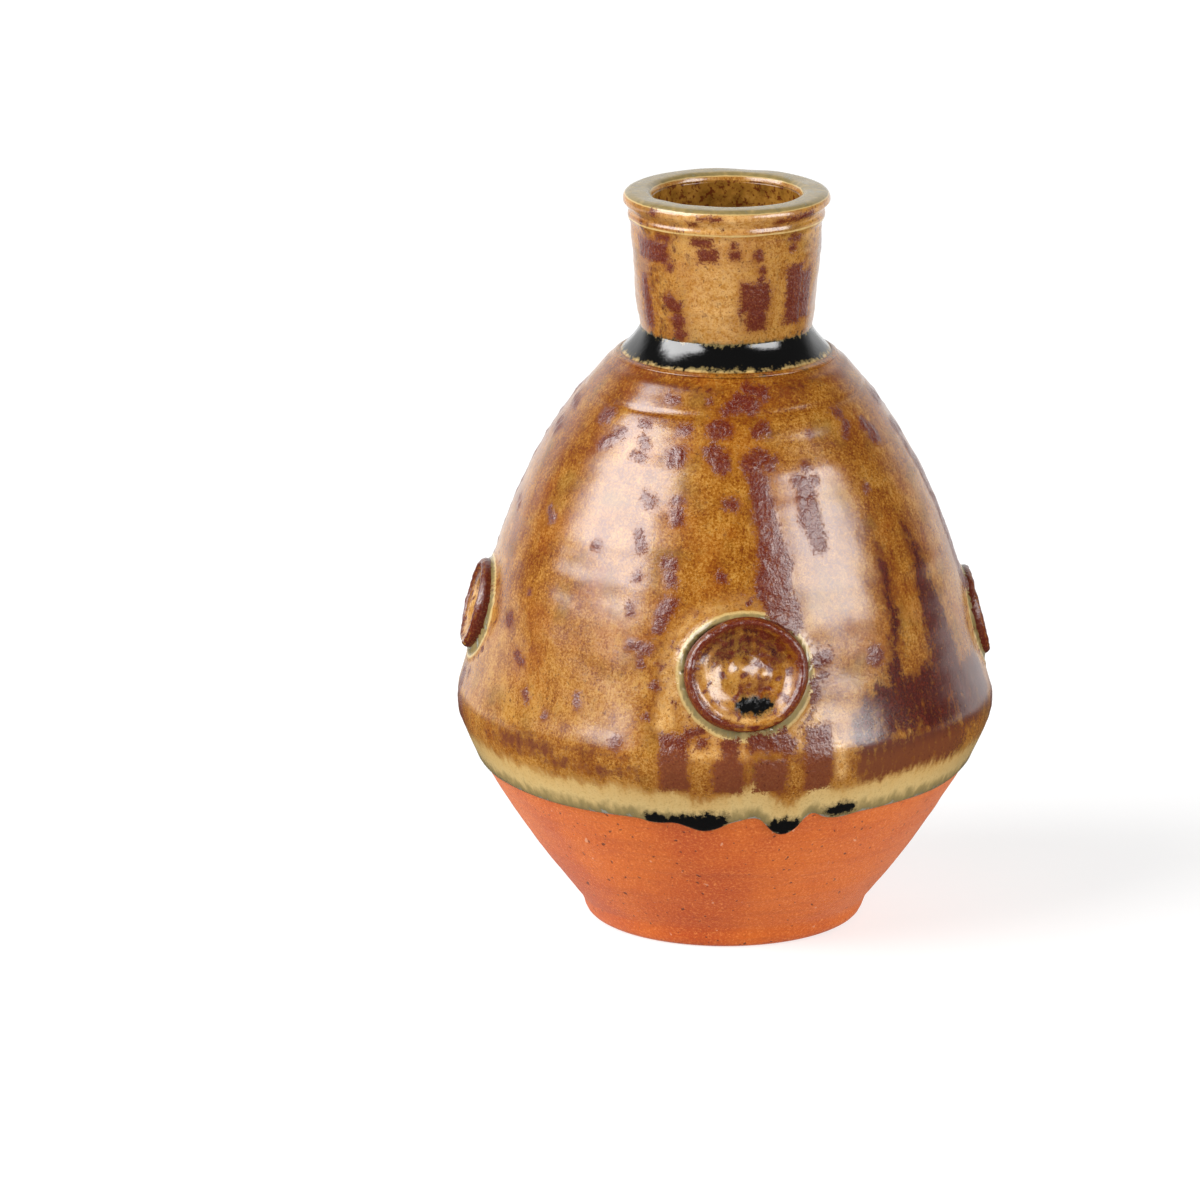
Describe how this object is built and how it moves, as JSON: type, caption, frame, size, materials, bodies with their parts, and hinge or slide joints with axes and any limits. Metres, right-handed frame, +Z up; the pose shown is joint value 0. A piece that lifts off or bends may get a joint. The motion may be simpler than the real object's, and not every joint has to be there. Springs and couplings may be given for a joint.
{
  "type": "sake bottle",
  "caption": "Hand-thrown stoneware sake bottle with a collared neck, pressed clay discs and runny amber glaze over a bare clay foot, for holding and pouring sake.",
  "frame": {"origin": "centre of the flat foot, on the surface that the bottle stands on", "axes": "+Z up through the mouth; -Y out through the middle of the front disc; +X to the right of that disc"},
  "size_m": [0.105, 0.1063, 0.145],
  "materials": {
    "bare_clay": "matte, fine sandy grain",
    "amber_glaze": "gloss, runny amber with russet breaks",
    "russet_glaze": "gloss, amber breaking to russet",
    "pooled_glaze": "deep gloss black",
    "liner_glaze": "gloss, speckled olive"
  },
  "bodies": {
    "root": {"body": "bare_clay", "neck": "bare_clay", "disc_front": "russet_glaze", "disc_right": "russet_glaze", "disc_back": "russet_glaze", "disc_left": "russet_glaze", "body_glaze": "amber_glaze", "neck_glaze": "amber_glaze", "neck_ring_glaze": "pooled_glaze", "glaze_runs": "pooled_glaze", "liner_glaze": "liner_glaze"}
  },
  "joints": []
}
